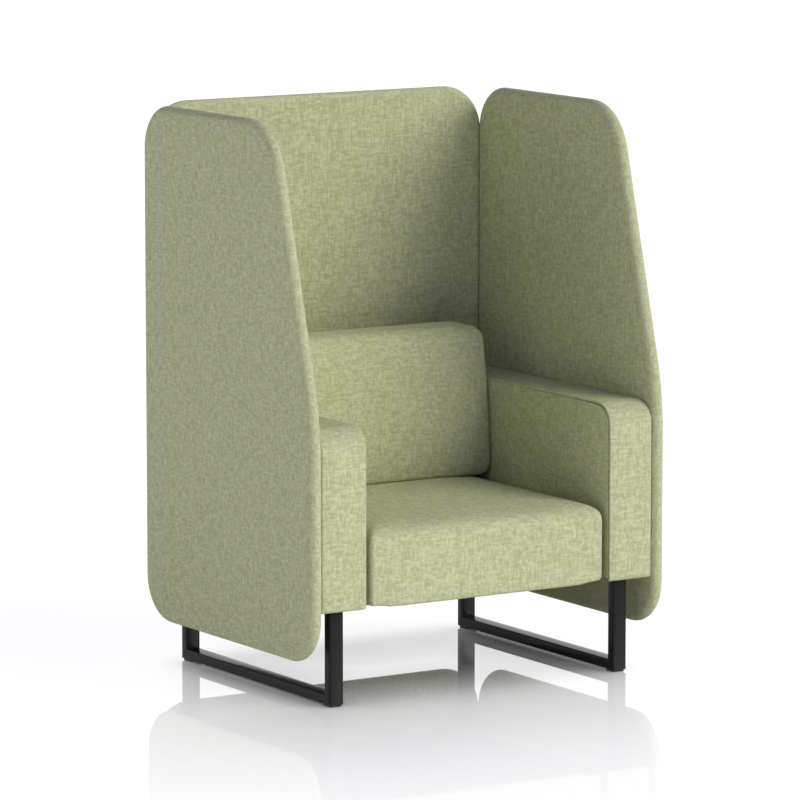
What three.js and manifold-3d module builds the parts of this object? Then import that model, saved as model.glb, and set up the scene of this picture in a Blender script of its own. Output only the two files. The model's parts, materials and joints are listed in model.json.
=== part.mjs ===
import * as THREE from 'three';
import { mergeVertices } from 'three/addons/utils/BufferGeometryUtils.js';
import Module from 'manifold-3d';

const wasm = await Module();
wasm.setup();

// An acoustic high back lounge chair: a deep upholstered armchair on two black sled frames,
// inside three tall padded screens that meet at the rear corners.
// Millimetres, +Z up, the sitter faces -Y, origin on the floor under the middle of the chair.

// The whole chair
const chairWidth = 1000;
const chairDepth = 815;
const chairHeight = 1380;
const fitGap = 0.3;
const cutOverrun = 6;
const weldTolerance = 0.0001;

// Screens: padded boards with fully rounded edges
const screenThickness = 30;
const screenFloorGap = 116;
const screenCornerRadius = 110;
const screenFrontTopRadius = 145;
const screenKinkHeight = 684;
const screenKinkRadius = 700;
const screenTopSetback = 185;
const screenCornerOffset = 19;
const coreThickness = 12;
const corePadding = 14;
const coreEndSetback = 2;

// Arms: a plywood and timber box with a padded band over its front and top
const armWidth = 123.5;
const armTopHeight = 670;
const armBottomHeight = 235;
const armFrontSetback = 6;
const armCornerRadius = 55;
const armPadding = 12;
const armPadEdge = 4;
const armRearGap = 4;
const armBoardThickness = 12;
const armBaseHeight = 241;
const armBaseThickness = 25;
const armFrontPostWidth = 60;
const armRailThickness = 30;
const armVoidDepth = 62;

// Sled frames: flat steel tube with mitred corners, a plate on top of each leg
const sledInset = 58.8;
const sledFrontSetback = 46;
const sledRearSetback = 66;
const tubeWidth = 38;
const tubeDepth = 25;
const tubeWall = 2;
const plateWidth = 60;
const plateLength = 76;
const plateThickness = 5;
const plateHoleRadius = 4.6;
const plateHoleSpacing = 54;
const glideHeight = 5;
const glideWidth = 30;
const glideLength = 32;
const glideInset = 4;
const glideChamfer = 1;
const boltShankRadius = 4;
const boltHeadRadius = 7;
const boltHeadHeight = 4;
const boltLength = 24;

// Seat
const seatSideGap = 6;
const seatFrontSetback = 15;
const seatBottomHeight = 238;
const seatEdgeHeight = 422;
const seatCrown = 12;
const seatEdgeRadius = 28;
const seatBottomRadius = 10;
const seatPlanRadius = 20;
const seatDrawIn = 3;
const seatFrontApron = 25;
const seatSideApron = 5;
const seatRailHeight = 70;
const seatRailThickness = 25;
const springWire = 3.6;
const springSwing = 26;
const springPitch = 78;
const springCount = 4;
const springSideMargin = 115;
const dustCoverThickness = 4;

// Back support and back cushion
const supportPadding = 20;
const supportTopPadding = 14;
const supportBoardThickness = 12;
const supportPostWidth = 45;
const supportDepth = 96;
const supportRailHeight = 45;
const cushionThickness = 147;
const cushionTaper = 23;
const cushionTopHeight = 811;
const cushionRadius = 38;
const cushionRearRadius = 26;
const cushionPlanRadius = 52;
const cushionCrown = 9;
const cushionDrawIn = 4;
const leastCornerRadius = 5;

// Corner angles that tie the side screens to the back screen
const angleThickness = 3;
const angleLeg = 46;
const angleLowHeight = 290;
const angleHighHeight = 600;

// Places that follow from the sizes above
const screenRadius = screenThickness / 2;
const frontPlane = -chairDepth / 2;
const backPlane = chairDepth / 2;
const sideInnerFace = chairWidth / 2 - screenThickness;
const backInnerFace = backPlane - screenThickness;
const bullnoseDistance = screenThickness + fitGap;
const cornerDepthOffset = Math.sqrt(bullnoseDistance ** 2 - screenCornerOffset ** 2);
const sideScreenRear = backPlane - cornerDepthOffset;
const backScreenHalfWidth = chairWidth / 2 - screenCornerOffset;
const armOuter = sideInnerFace - fitGap;
const armInner = armOuter - armWidth;
const armFront = frontPlane + armFrontSetback;
const armRear = backInnerFace - armRearGap;
const insideHalfWidth = armInner - fitGap;
const seatHalfWidth = insideHalfWidth - seatSideGap;
const sledCentre = armInner + sledInset;
const seatFront = armFront + seatFrontSetback;
const supportTopHeight = armTopHeight;
const supportFront = backInnerFace - supportDepth;
const seatRear = supportFront - fitGap;
const railBottom = armBaseHeight;
const railTop = railBottom + seatRailHeight;
const foamUnderside = railTop + springWire + fitGap * 2;
const frontRailFace = seatFront + seatFrontApron + fitGap;
const rearRailFace = seatRear - seatRailThickness;
const springRow = seatHalfWidth - springSideMargin;

// Materials
const materialTable = {
  fabric: { color: 0xb9bd96, roughness: 0.95, metalness: 0 },
  blackCloth: { color: 0x1d1d1c, roughness: 0.9, metalness: 0 },
  stainedTimber: { color: 0x2a2623, roughness: 0.7, metalness: 0 },
  plywood: { color: 0xc9a878, roughness: 0.7, metalness: 0 },
  timber: { color: 0xbd9562, roughness: 0.75, metalness: 0 },
  blackSteel: { color: 0x232323, roughness: 0.45, metalness: 0.6 },
  springSteel: { color: 0x8d8f91, roughness: 0.35, metalness: 1 },
  zincSteel: { color: 0xa6a8aa, roughness: 0.4, metalness: 1 },
  glidePlastic: { color: 0x151515, roughness: 0.7, metalness: 0 },
};

const chair = new THREE.Group();

function addMesh(name, geometry, finish, parent = chair) {
  const mesh = new THREE.Mesh(geometry, new THREE.MeshStandardMaterial(materialTable[finish]));
  mesh.name = name;
  parent.add(mesh);
  return mesh;
}

// Solids for cutting and joining

function toSolid(geometry) {
  const bare = geometry.clone();
  bare.deleteAttribute('normal');
  bare.deleteAttribute('uv');
  const merged = mergeVertices(bare, weldTolerance);
  const vertProperties = new Float32Array(merged.attributes.position.array);
  const triVerts = new Uint32Array(merged.index.array);
  return new wasm.Manifold(new wasm.Mesh({ numProp: 3, vertProperties, triVerts }));
}

function toGeometry(solid) {
  const mesh = solid.getMesh();
  const geometry = new THREE.BufferGeometry();
  geometry.setAttribute('position', new THREE.BufferAttribute(new Float32Array(mesh.vertProperties), 3));
  geometry.setIndex(new THREE.BufferAttribute(new Uint32Array(mesh.triVerts), 1));
  const loose = geometry.toNonIndexed();
  loose.computeVertexNormals();
  return loose;
}

function cut(geometry, ...cutters) {
  let solid = toSolid(geometry);
  for (const cutter of cutters) {
    solid = solid.subtract(toSolid(cutter));
  }
  return toGeometry(solid);
}

function join(...geometries) {
  let solid = toSolid(geometries[0]);
  for (const piece of geometries.slice(1)) {
    solid = solid.add(toSolid(piece));
  }
  return toGeometry(solid);
}

function boxBetween(low, high) {
  const size = high.map((value, axis) => value - low[axis]);
  const middle = high.map((value, axis) => (value + low[axis]) / 2);
  const geometry = new THREE.BoxGeometry(...size);
  geometry.translate(...middle);
  return geometry;
}

// Outlines: a convex polygon whose corners are arcs, drawn at any distance inside its edge

function cornerArcs(corners) {
  return corners.map((corner, i) => {
    const before = corners[(i + corners.length - 1) % corners.length];
    const after = corners[(i + 1) % corners.length];
    const into = new THREE.Vector2(corner.u - before.u, corner.v - before.v).normalize();
    const away = new THREE.Vector2(after.u - corner.u, after.v - corner.v).normalize();
    const turn = Math.acos(THREE.MathUtils.clamp(into.dot(away), -1, 1));
    const back = corner.radius * Math.tan(turn / 2);
    const startNormal = Math.atan2(-into.x, into.y);
    return {
      centre: new THREE.Vector2(
        corner.u - into.x * back - into.y * corner.radius,
        corner.v - into.y * back + into.x * corner.radius,
      ),
      radius: corner.radius,
      start: startNormal,
      turn,
      steps: corner.steps,
    };
  });
}

function outlinePoints(corners, inset, runs = 1) {
  const arcs = cornerArcs(corners);
  const points = [];
  arcs.forEach((arc, i) => {
    for (let k = 0; k <= arc.steps; k += 1) {
      points.push(arcPoint(arc, k / arc.steps, inset));
    }
    const next = arcPoint(arcs[(i + 1) % arcs.length], 0, inset);
    const last = points[points.length - 1];
    for (let k = 1; k < runs; k += 1) {
      points.push(last.clone().lerp(next, k / runs));
    }
  });
  return points;
}

function arcPoint(arc, share, inset) {
  const angle = arc.start + arc.turn * share;
  const radius = arc.radius - inset;
  return new THREE.Vector2(
    arc.centre.x + radius * Math.cos(angle),
    arc.centre.y + radius * Math.sin(angle),
  );
}

// A closed surface through rings of points, each end closed by a fan to its middle

function loft(rings) {
  const count = rings[0].length;
  const positions = [];
  rings.forEach((ring) => ring.forEach((point) => positions.push(point.x, point.y, point.z)));
  const ends = [rings[0], rings[rings.length - 1]].map((ring) => {
    const middle = new THREE.Vector3();
    ring.forEach((point) => middle.add(point));
    middle.divideScalar(count);
    positions.push(middle.x, middle.y, middle.z);
    return positions.length / 3 - 1;
  });
  const triangles = [];
  for (let r = 0; r < rings.length - 1; r += 1) {
    for (let k = 0; k < count; k += 1) {
      const a = r * count + k;
      const b = r * count + ((k + 1) % count);
      triangles.push(a, b, b + count, a, b + count, a + count);
    }
  }
  const lastRing = (rings.length - 1) * count;
  for (let k = 0; k < count; k += 1) {
    const next = (k + 1) % count;
    triangles.push(ends[0], next, k, ends[1], lastRing + k, lastRing + next);
  }
  const geometry = new THREE.BufferGeometry();
  geometry.setAttribute('position', new THREE.Float32BufferAttribute(positions, 3));
  geometry.setIndex(triangles);
  geometry.computeVertexNormals();
  return geometry;
}

// A slab with a fully rounded edge, thickness along Z about zero
function bullnoseSlab(corners, thickness, steps) {
  const radius = thickness / 2;
  const rings = [];
  for (let k = 0; k <= steps; k += 1) {
    const angle = Math.PI * (k / steps - 1 / 2);
    const inset = radius * (1 - Math.cos(angle));
    const height = radius * Math.sin(angle);
    rings.push(outlinePoints(corners, inset).map((p) => new THREE.Vector3(p.x, p.y, height)));
  }
  return loft(rings);
}

// A flat slab with square edges, thickness along Z about zero
function flatSlab(points, thickness) {
  const geometry = new THREE.ExtrudeGeometry(new THREE.Shape(points), {
    depth: thickness,
    bevelEnabled: false,
  });
  geometry.translate(0, 0, -thickness / 2);
  return geometry;
}

// A slab with softened edges, thickness along Z about zero
function softSlab(points, thickness, edge) {
  const geometry = new THREE.ExtrudeGeometry(new THREE.Shape(points), {
    depth: thickness - edge * 2,
    bevelSize: edge,
    bevelOffset: -edge,
    bevelThickness: edge,
    bevelSegments: 2,
  });
  geometry.translate(0, 0, edge - thickness / 2);
  return geometry;
}

// Turns a slab drawn as (depth, height) to stand across the chair's width
function standSideways(geometry, x) {
  const turn = new THREE.Matrix4().makeBasis(
    new THREE.Vector3(0, 1, 0),
    new THREE.Vector3(0, 0, 1),
    new THREE.Vector3(1, 0, 0),
  );
  geometry.applyMatrix4(turn);
  geometry.translate(x, 0, 0);
  return geometry;
}

// Turns a slab drawn as (width, height) to stand across the chair's depth
function standAcross(geometry, y) {
  geometry.rotateX(Math.PI / 2);
  geometry.translate(0, y, 0);
  return geometry;
}

// Screens

const arcSteps = 8;

function sideScreenCorners() {
  return [
    { u: frontPlane, v: screenFloorGap, radius: screenCornerRadius, steps: arcSteps },
    { u: sideScreenRear, v: screenFloorGap, radius: screenCornerRadius, steps: arcSteps },
    { u: sideScreenRear, v: chairHeight, radius: screenCornerRadius, steps: arcSteps },
    { u: frontPlane + screenTopSetback, v: chairHeight, radius: screenFrontTopRadius, steps: arcSteps },
    { u: frontPlane, v: screenKinkHeight, radius: screenKinkRadius, steps: arcSteps / 2 },
  ];
}

function backScreenCorners() {
  const corner = { radius: screenCornerRadius, steps: arcSteps };
  return [
    { u: -backScreenHalfWidth, v: screenFloorGap, ...corner },
    { u: backScreenHalfWidth, v: screenFloorGap, ...corner },
    { u: backScreenHalfWidth, v: chairHeight, ...corner },
    { u: -backScreenHalfWidth, v: chairHeight, ...corner },
  ];
}

// The board inside a screen: the screen's outline drawn in, with a tongue down its bottom slot
function screenCore(corners, clearance) {
  const inset = corePadding - clearance;
  const thickness = coreThickness + clearance * 2;
  const board = flatSlab(outlinePoints(corners, inset), thickness);
  const slotStart = corners[0].u + screenCornerRadius - clearance;
  const slotEnd = corners[1].u - screenCornerRadius + clearance;
  const slotBottom = clearance > 0 ? screenFloorGap - cutOverrun : screenFloorGap + coreEndSetback;
  const tongue = boxBetween(
    [slotStart, slotBottom, -thickness / 2],
    [slotEnd, screenFloorGap + screenCornerRadius, thickness / 2],
  );
  return join(board, tongue);
}

function screenPad(corners) {
  return cut(bullnoseSlab(corners, screenThickness, arcSteps), screenCore(corners, fitGap));
}

for (const [side, sign] of [['left', -1], ['right', 1]]) {
  const x = sign * (chairWidth / 2 - screenRadius);
  addMesh(`${side}_screen_pad`, standSideways(screenPad(sideScreenCorners()), x), 'fabric');
  addMesh(`${side}_screen_core`, standSideways(screenCore(sideScreenCorners(), 0), x), 'plywood');
}
const backScreenMiddle = backPlane - screenRadius;
addMesh('back_screen_pad', standAcross(screenPad(backScreenCorners()), backScreenMiddle), 'fabric');
addMesh('back_screen_core', standAcross(screenCore(backScreenCorners(), 0), backScreenMiddle), 'plywood');

// Arms

// The arm's front and top edge as a line of points, drawn at a distance inside the fabric
function armEdge(inset, bottom, rear) {
  const radius = armCornerRadius - inset;
  const centre = new THREE.Vector2(armFront + armCornerRadius, armTopHeight - armCornerRadius);
  const points = [new THREE.Vector2(armFront + inset, bottom)];
  for (let k = 0; k <= arcSteps; k += 1) {
    const angle = Math.PI - (Math.PI / 2) * (k / arcSteps);
    points.push(new THREE.Vector2(centre.x + radius * Math.cos(angle), centre.y + radius * Math.sin(angle)));
  }
  points.push(new THREE.Vector2(rear, armTopHeight - inset));
  return points;
}

function armBand() {
  const outer = armEdge(0, armBottomHeight, armRear);
  const inner = armEdge(armPadding, armBottomHeight, armRear).reverse();
  return softSlab([...outer, ...inner].reverse(), armWidth, armPadEdge);
}

function armPanel(inset, bottom, rear, thickness) {
  const edge = armEdge(inset, bottom, rear);
  return flatSlab([...edge, new THREE.Vector2(rear, bottom)].reverse(), thickness);
}

const woodInset = armPadding + fitGap;
const woodTop = armTopHeight - woodInset;
const woodFront = armFront + woodInset;
const baseTop = armBaseHeight + armBaseThickness;
const armWoodRear = armRear - armVoidDepth;
const innerBoardFace = armInner + armPadding + fitGap;
const innerBoardBack = innerBoardFace + armBoardThickness;
const outerBoardBack = armOuter - fitGap;
const outerBoardFace = outerBoardBack - armBoardThickness;
const plateYs = [
  frontPlane + sledFrontSetback + tubeDepth / 2,
  backPlane - sledRearSetback - tubeDepth / 2,
];

function boltYs() {
  return plateYs.flatMap((y) => [y - plateHoleSpacing / 2, y + plateHoleSpacing / 2]);
}

function holeCutter(x, y, radius, bottom, top) {
  const sides = 16;
  const geometry = new THREE.CylinderGeometry(radius, radius, top - bottom, sides);
  geometry.rotateX(Math.PI / 2);
  geometry.translate(x, y, (top + bottom) / 2);
  return geometry;
}

function armBase(sign) {
  const xs = [sign * innerBoardFace, sign * outerBoardBack].sort((a, b) => a - b);
  const board = boxBetween([xs[0], woodFront, armBaseHeight], [xs[1], armRear, baseTop]);
  const radius = boltShankRadius + fitGap;
  const holes = boltYs().map((y) => holeCutter(
    sign * sledCentre, y, radius, armBaseHeight - cutOverrun, baseTop + cutOverrun,
  ));
  return cut(board, ...holes);
}

function betweenBoards(sign, lowY, lowZ, highY, highZ) {
  const xs = [sign * (innerBoardBack + fitGap), sign * (outerBoardFace - fitGap)].sort((a, b) => a - b);
  return boxBetween([xs[0], lowY, lowZ], [xs[1], highY, highZ]);
}

function armFrontPost(sign) {
  const width = outerBoardFace - innerBoardBack - fitGap * 2;
  const post = armPanel(woodInset, baseTop + fitGap, woodFront + armFrontPostWidth, width);
  return standSideways(post, sign * (innerBoardBack + outerBoardFace) / 2);
}

function buildArm(side, sign) {
  const bandMiddle = sign * (armInner + armWidth / 2);
  addMesh(`${side}_arm_band`, standSideways(armBand(), bandMiddle), 'fabric');
  const pad = armPanel(woodInset, armBottomHeight, armRear, armPadding);
  addMesh(`${side}_arm_inner_pad`, standSideways(pad, sign * (armInner + armPadding / 2)), 'fabric');

  const lowest = baseTop + fitGap;
  const inner = armPanel(woodInset, lowest, armRear, armBoardThickness);
  const innerMiddle = sign * (innerBoardFace + armBoardThickness / 2);
  addMesh(`${side}_arm_inner_board`, standSideways(inner, innerMiddle), 'plywood');
  const outer = armPanel(woodInset, lowest, armWoodRear, armBoardThickness);
  const outerMiddle = sign * (outerBoardFace + armBoardThickness / 2);
  addMesh(`${side}_arm_outer_board`, standSideways(outer, outerMiddle), 'plywood');

  addMesh(`${side}_arm_base_board`, armBase(sign), 'timber');
  addMesh(`${side}_arm_front_post`, armFrontPost(sign), 'timber');
  const railFront = woodFront + armFrontPostWidth + fitGap;
  const railUnder = woodTop - armRailThickness;
  addMesh(`${side}_arm_top_rail`, betweenBoards(sign, railFront, railUnder, armWoodRear, woodTop), 'timber');
  const postFront = armWoodRear - armRailThickness;
  const rearPost = betweenBoards(sign, postFront, lowest, armWoodRear, railUnder - fitGap);
  addMesh(`${side}_arm_rear_post`, rearPost, 'timber');
}

// Sled frames

const legTop = armBaseHeight - fitGap - plateThickness;
const runnerFront = frontPlane + sledFrontSetback;
const runnerRear = backPlane - sledRearSetback;

// A flat tube seen from the side: its outline and its bore, both as lists of (depth, height)
function flatTube(outline, bore) {
  const tube = flatSlab(outline, tubeWidth);
  const hollow = flatSlab(bore, tubeWidth - tubeWall * 2);
  return cut(tube, hollow);
}

function points2(...pairs) {
  return pairs.map(([u, v]) => new THREE.Vector2(u, v));
}

// A leg stands on the runner's mitre, which rises from the corner at 45 degrees
function legTube(outerY, inward) {
  const innerY = outerY + inward * tubeDepth;
  const low = glideHeight + fitGap * Math.SQRT2;
  const outline = points2([outerY, low], [innerY, low + tubeDepth], [innerY, legTop], [outerY, legTop]);
  const boreOuter = outerY + inward * tubeWall;
  const boreInner = innerY - inward * tubeWall;
  const bore = points2(
    [boreOuter, low - cutOverrun],
    [boreInner, low - cutOverrun],
    [boreInner, legTop - tubeWall],
    [boreOuter, legTop - tubeWall],
  );
  return inward > 0 ? flatTube(outline, bore) : flatTube(outline.reverse(), bore.reverse());
}

function runnerTube() {
  const low = glideHeight;
  const high = glideHeight + tubeDepth;
  const outline = points2(
    [runnerFront, low],
    [runnerRear, low],
    [runnerRear - tubeDepth, high],
    [runnerFront + tubeDepth, high],
  );
  const bore = points2(
    [runnerFront - cutOverrun, low + tubeWall],
    [runnerRear + cutOverrun, low + tubeWall],
    [runnerRear + cutOverrun, high - tubeWall],
    [runnerFront - cutOverrun, high - tubeWall],
  );
  return flatTube(outline, bore);
}

function legPlate(y) {
  const plate = boxBetween(
    [-plateWidth / 2, y - plateLength / 2, legTop],
    [plateWidth / 2, y + plateLength / 2, legTop + plateThickness],
  );
  const bottom = legTop - cutOverrun;
  const top = legTop + plateThickness + cutOverrun;
  const holes = [-1, 1].map((end) => (
    holeCutter(0, y + (end * plateHoleSpacing) / 2, plateHoleRadius, bottom, top)
  ));
  return cut(plate, ...holes);
}

function bolt() {
  const underside = legTop - fitGap;
  const profile = points2(
    [0, underside - boltHeadHeight],
    [boltHeadRadius / 2, underside - boltHeadHeight],
    [boltHeadRadius, underside - boltHeadHeight / 2],
    [boltHeadRadius, underside],
    [boltShankRadius, underside],
    [boltShankRadius, underside + boltLength],
    [0, underside + boltLength],
  );
  const sides = 12;
  const geometry = new THREE.LatheGeometry(profile, sides);
  geometry.rotateX(Math.PI / 2);
  return geometry;
}

function glide(y) {
  const half = [glideWidth / 2, glideLength / 2];
  const foot = half.map((size) => size - glideChamfer);
  const ring = ([x, d], z) => [[-x, -d], [x, -d], [x, d], [-x, d]].map(([u, v]) => new THREE.Vector3(u, y + v, z));
  return loft([ring(foot, 0), ring(half, glideChamfer), ring(half, glideHeight - fitGap)]);
}

function buildSled(side, sign) {
  const sled = new THREE.Group();
  sled.position.x = sign * sledCentre;
  chair.add(sled);
  addMesh(`${side}_runner`, standSideways(runnerTube(), 0), 'blackSteel', sled);
  const ends = [
    ['front', runnerFront, 1, plateYs[0]],
    ['rear', runnerRear, -1, plateYs[1]],
  ];
  for (const [end, outerY, inward, plateY] of ends) {
    const leg = join(standSideways(legTube(outerY, inward), 0), legPlate(plateY));
    addMesh(`${side}_${end}_leg`, leg, 'blackSteel', sled);
    const glideMiddle = outerY + inward * (glideInset + glideLength / 2);
    addMesh(`${side}_${end}_glide`, glide(glideMiddle), 'glidePlastic', sled);
    for (const [place, step] of [['a', -1], ['b', 1]]) {
      const mesh = addMesh(`${side}_${end}_bolt_${place}`, bolt(), 'zincSteel', sled);
      mesh.position.y = plateY + (step * plateHoleSpacing) / 2;
    }
  }
}

// Seat

// Rings inside the rim of a crowned top, as shares of the way out from its middle
const domeShares = [0.86, 0.68, 0.46, 0.22];
const roundSteps = 3;
const cornerSteps = 4;
const edgeRuns = 7;

// How high the crown stands over a place on the top, as a share of its greatest height
function crownShare(x, y, { halfWidth, halfDepth, topRadius }) {
  const u = x / (halfWidth - topRadius);
  const v = y / (halfDepth - topRadius);
  return Math.max(1 - u * u, 0) * Math.max(1 - v * v, 0);
}

// The block's outline at a distance inside its widest one
function blockOutline({ halfWidth, halfDepth, planRadius }, inset) {
  const u = halfWidth - inset;
  const v = halfDepth - inset;
  const radius = Math.max(planRadius - inset, leastCornerRadius);
  const corners = [[-u, -v], [u, -v], [u, v], [-u, v]];
  return outlinePoints(corners.map((at) => ({ u: at[0], v: at[1], radius, steps: cornerSteps })), 0, edgeRuns);
}

// A level ring of the block's side, drawn in between the corners at half height
function sideRing(shape, inset, z) {
  const { halfWidth, halfDepth, height, drawIn } = shape;
  const wall = drawIn * Math.sin((Math.PI * z) / height);
  return blockOutline(shape, inset).map((point) => {
    const u = point.x / halfWidth;
    const v = point.y / halfDepth;
    const x = point.x - Math.sign(u) * u * u * (1 - v * v) * wall;
    const y = point.y - Math.sign(v) * v * v * (1 - u * u) * wall;
    return new THREE.Vector3(x, y, z);
  });
}

// A rounded block with a crowned top, standing on zero
function crownedBlock(shape) {
  const { height, lowRadius, topRadius, crown } = shape;
  const rings = [];
  for (let k = 0; k <= roundSteps; k += 1) {
    const angle = (Math.PI / 2) * (k / roundSteps);
    rings.push(sideRing(shape, lowRadius * (1 - Math.sin(angle)), lowRadius * (1 - Math.cos(angle))));
  }
  rings.push(sideRing(shape, 0, height / 2));
  for (let k = 0; k <= roundSteps; k += 1) {
    const angle = (Math.PI / 2) * (k / roundSteps);
    rings.push(sideRing(shape, topRadius * (1 - Math.cos(angle)), height - topRadius * (1 - Math.sin(angle))));
  }
  const rim = blockOutline(shape, topRadius);
  for (const share of domeShares) {
    rings.push(rim.map((point) => {
      const x = point.x * share;
      const y = point.y * share;
      return new THREE.Vector3(x, y, height + crown * crownShare(x, y, shape));
    }));
  }
  return loft(rings);
}

const seatMiddle = (seatFront + seatRear) / 2;
const seatShape = {
  halfWidth: seatHalfWidth,
  halfDepth: (seatRear - seatFront) / 2,
  height: seatEdgeHeight - seatBottomHeight,
  planRadius: seatPlanRadius,
  lowRadius: seatBottomRadius,
  topRadius: seatEdgeRadius,
  crown: seatCrown,
  drawIn: seatDrawIn,
};

function seatTopAt(x, y) {
  return seatEdgeHeight + seatCrown * crownShare(x, y - seatMiddle, seatShape);
}

function seatCushion() {
  const block = crownedBlock(seatShape);
  block.translate(0, seatMiddle, seatBottomHeight);
  const pocketHalf = seatHalfWidth - seatSideApron;
  const below = seatBottomHeight - cutOverrun;
  const pocket = boxBetween(
    [-pocketHalf, frontRailFace - fitGap, below],
    [pocketHalf, seatRear + cutOverrun, foamUnderside],
  );
  const railSlot = (face) => boxBetween(
    [-insideHalfWidth - cutOverrun, face - fitGap, below],
    [insideHalfWidth + cutOverrun, face + seatRailThickness + fitGap, railTop + fitGap],
  );
  return cut(block, pocket, railSlot(frontRailFace), railSlot(rearRailFace));
}

function crossRail(face) {
  return boxBetween(
    [-insideHalfWidth, face, railBottom],
    [insideHalfWidth, face + seatRailThickness, railTop],
  );
}

function sideRail(sign) {
  const outer = seatHalfWidth - seatSideApron - fitGap;
  const xs = [sign * outer, sign * (outer - seatRailThickness)].sort((a, b) => a - b);
  return boxBetween(
    [xs[0], frontRailFace + seatRailThickness + fitGap, railBottom],
    [xs[1], rearRailFace - fitGap, railTop],
  );
}

// A sinuous spring: a wire that swings from side to side on its way from rail to rail
class SinuousCurve extends THREE.Curve {
  constructor(length, swings) {
    super();
    this.length = length;
    this.swings = swings;
  }

  getPoint(t, target = new THREE.Vector3()) {
    const side = springSwing * Math.sin(Math.PI * this.swings * t);
    return target.set(side, this.length * t, 0);
  }
}

function seatSpring() {
  const start = frontRailFace + seatRailThickness / 2;
  const length = rearRailFace + seatRailThickness / 2 - start;
  const swings = Math.round((length / springPitch) * 2);
  const section = new THREE.Shape();
  section.absarc(0, 0, springWire / 2, 0, Math.PI * 2);
  const geometry = new THREE.ExtrudeGeometry(section, {
    steps: swings * 4,
    curveSegments: 5,
    bevelEnabled: false,
    extrudePath: new SinuousCurve(length, swings),
  });
  geometry.translate(0, start, railTop + fitGap + springWire / 2);
  return geometry;
}

function buildSeat() {
  addMesh('seat_cushion', seatCushion(), 'fabric');
  addMesh('seat_front_rail', crossRail(frontRailFace), 'stainedTimber');
  addMesh('seat_rear_rail', crossRail(rearRailFace), 'stainedTimber');
  addMesh('seat_left_rail', sideRail(-1), 'stainedTimber');
  addMesh('seat_right_rail', sideRail(1), 'stainedTimber');
  for (let k = 0; k < springCount; k += 1) {
    const mesh = addMesh(`seat_spring_${k + 1}`, seatSpring(), 'springSteel');
    mesh.position.x = springRow * ((k / (springCount - 1)) * 2 - 1);
  }
  const coverHalf = seatHalfWidth - seatSideApron - fitGap;
  const coverTop = railBottom - fitGap;
  const cover = boxBetween(
    [-coverHalf, frontRailFace, coverTop - dustCoverThickness],
    [coverHalf, rearRailFace + seatRailThickness, coverTop],
  );
  addMesh('seat_dust_cover', cover, 'blackCloth');
}

// Back support and back cushion

const supportPadBack = supportFront + supportPadding;
const supportBoardFront = supportPadBack + fitGap;
const supportBoardBack = supportBoardFront + supportBoardThickness;
const supportRear = armRear;
const supportWoodTop = supportTopHeight - supportTopPadding - fitGap;

function supportPad() {
  const low = railTop;
  const profile = points2(
    [supportFront, low],
    [supportPadBack, low],
    [supportPadBack, supportTopHeight - supportTopPadding],
    [supportRear, supportTopHeight - supportTopPadding],
    [supportRear, supportTopHeight],
    [supportFront, supportTopHeight],
  );
  return standSideways(softSlab(profile, insideHalfWidth * 2, armPadEdge), 0);
}

function supportPost(sign) {
  const xs = [sign * insideHalfWidth, sign * (insideHalfWidth - supportPostWidth)].sort((a, b) => a - b);
  const front = supportBoardBack + fitGap;
  return boxBetween([xs[0], front, railBottom], [xs[1], supportRear, supportWoodTop]);
}

// The cushion is a crowned block stood on edge and thinned towards its top
function backCushion() {
  const height = cushionTopHeight - cushionBottom;
  const block = crownedBlock({
    halfWidth: seatHalfWidth,
    halfDepth: height / 2,
    height: cushionThickness,
    planRadius: cushionPlanRadius,
    lowRadius: cushionRearRadius,
    topRadius: cushionRadius,
    crown: cushionCrown,
    drawIn: cushionDrawIn,
  });
  block.rotateX(Math.PI / 2);
  const places = block.attributes.position;
  for (let i = 0; i < places.count; i += 1) {
    const rise = places.getZ(i) / height + 1 / 2;
    const thin = 1 - (cushionTaper / cushionThickness) * rise;
    places.setY(i, places.getY(i) * thin);
  }
  block.translate(0, supportFront - fitGap, (cushionTopHeight + cushionBottom) / 2);
  return block;
}

const cushionFlatStart = supportFront - cushionThickness + cushionRadius;
const cushionBottom = seatTopAt(0, cushionFlatStart) + fitGap;

function buildBack() {
  addMesh('back_support_pad', supportPad(), 'fabric');
  const board = boxBetween(
    [-insideHalfWidth, supportBoardFront, railBottom],
    [insideHalfWidth, supportBoardBack, supportWoodTop],
  );
  addMesh('back_support_board', board, 'plywood');
  addMesh('back_left_post', supportPost(-1), 'timber');
  addMesh('back_right_post', supportPost(1), 'timber');
  const railHalf = insideHalfWidth - supportPostWidth - fitGap;
  const rail = boxBetween(
    [-railHalf, supportBoardBack + fitGap, supportWoodTop - supportRailHeight],
    [railHalf, supportRear, supportWoodTop],
  );
  addMesh('back_top_rail', rail, 'timber');
  addMesh('back_cushion', backCushion(), 'fabric');
}

// A steel angle in the space behind each arm's rear post
function cornerAngle(sign) {
  const outerX = sideInnerFace - fitGap;
  const outerY = backInnerFace - fitGap;
  const legs = points2(
    [sign * outerX, outerY],
    [sign * (outerX - angleLeg), outerY],
    [sign * (outerX - angleLeg), outerY - angleThickness],
    [sign * (outerX - angleThickness), outerY - angleThickness],
    [sign * (outerX - angleThickness), outerY - angleLeg],
    [sign * outerX, outerY - angleLeg],
  );
  const geometry = new THREE.ExtrudeGeometry(new THREE.Shape(legs), {
    depth: angleHighHeight - angleLowHeight,
    bevelEnabled: false,
  });
  geometry.translate(0, 0, angleLowHeight);
  return geometry;
}

buildArm('left', -1);
buildArm('right', 1);
buildSled('left', -1);
buildSled('right', 1);
buildSeat();
buildBack();
addMesh('left_corner_angle', cornerAngle(-1), 'blackSteel');
addMesh('right_corner_angle', cornerAngle(1), 'blackSteel');

export default chair;
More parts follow.
